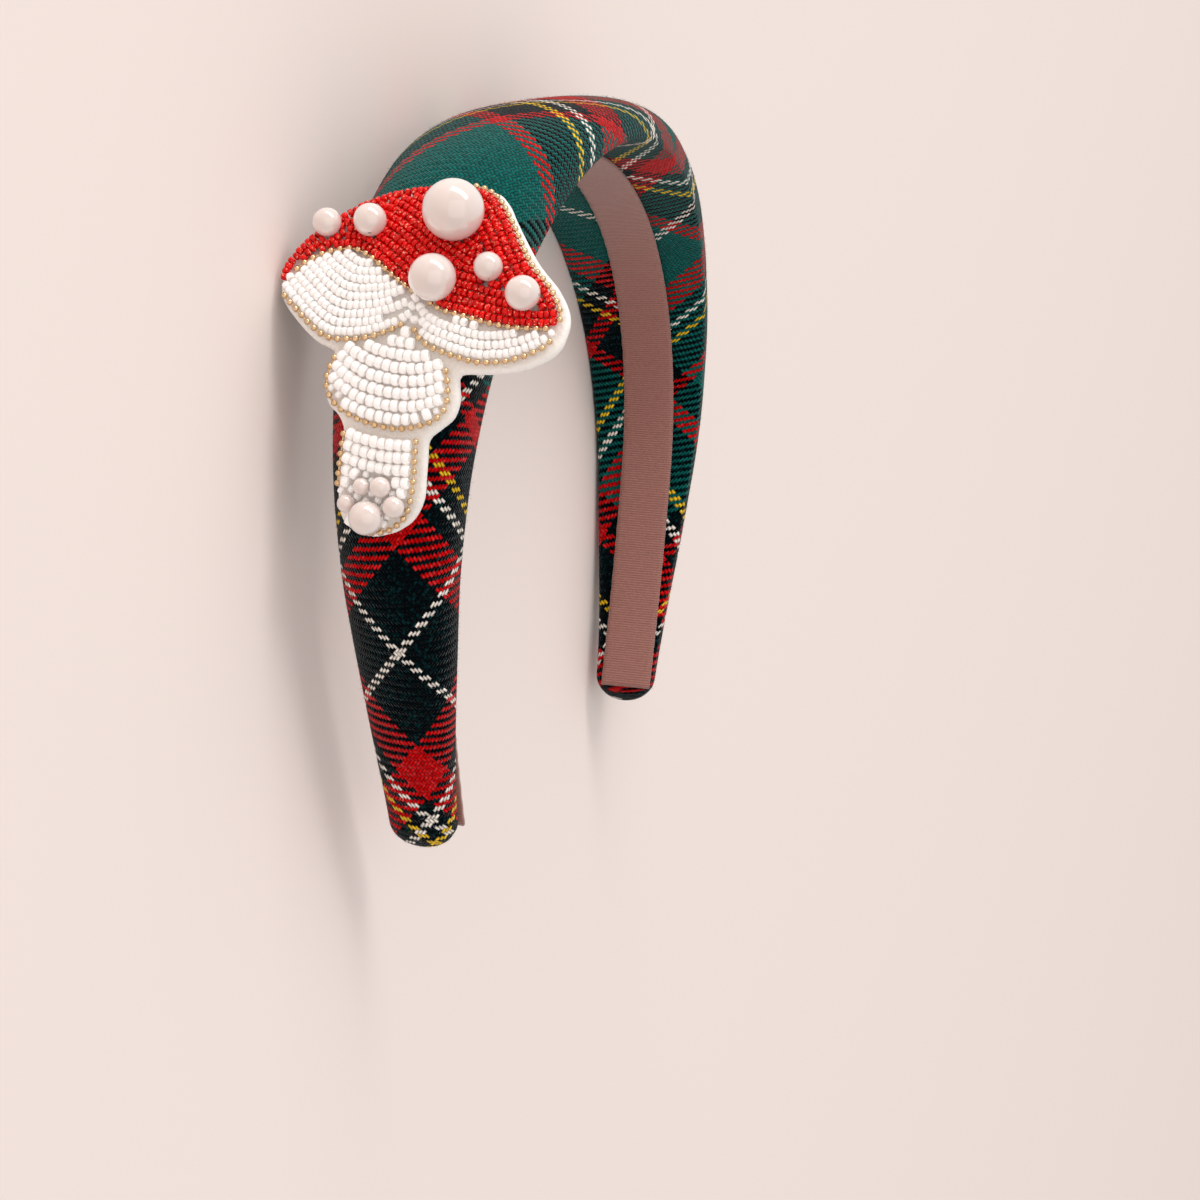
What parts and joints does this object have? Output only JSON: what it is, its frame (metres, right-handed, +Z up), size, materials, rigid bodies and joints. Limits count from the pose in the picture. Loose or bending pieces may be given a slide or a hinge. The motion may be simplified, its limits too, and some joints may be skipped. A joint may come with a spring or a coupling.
{
  "type": "padded headband",
  "caption": "Padded crescent headband covered in bias-cut tartan wool, with a beaded felt toadstool on the wearer's right side and a ribbon lining.",
  "frame": {"origin": "centre of the bounding box's bottom, on the surface the headband lies on", "axes": "+Z up: the headband lies on its back edge, so +Z runs from the wearer's back to the front; -X towards the crown; -Y towards the wearer's right side, which carries the toadstool"},
  "size_m": [0.141, 0.1824, 0.0577],
  "materials": {
    "tartan": "twill-woven wool tartan in green, navy and red with white and yellow lines",
    "lining": "soft pink ribbon",
    "felt": "white wool felt",
    "red_beads": "red glass seed beads with a silvered hole",
    "white_beads": "white lustre glass seed beads",
    "gold": "pale gold plated ball chain",
    "pearl": "imitation pearl"
  },
  "bodies": {
    "root": {"band": "tartan", "lining": "lining", "felt_backing": "felt", "cap_beads": "red_beads", "gill_left": "white_beads", "gill_right": "white_beads", "skirt_beads": "white_beads", "stem_beads": "white_beads", "gold_cap": "gold", "gold_gill_left": "gold", "gold_gill_right": "gold", "gold_brim_left": "gold", "gold_brim_right": "gold", "gold_skirt": "gold", "gold_stem": "gold", "cap_pearl_1": "pearl", "cap_pearl_2": "pearl", "cap_pearl_3": "pearl", "cap_pearl_4": "pearl", "cap_pearl_5": "pearl", "cap_pearl_6": "pearl", "stem_pearl_1": "pearl", "stem_pearl_2": "pearl", "stem_pearl_3": "pearl", "stem_pearl_4": "pearl", "stem_pearl_5": "pearl"}
  },
  "joints": []
}
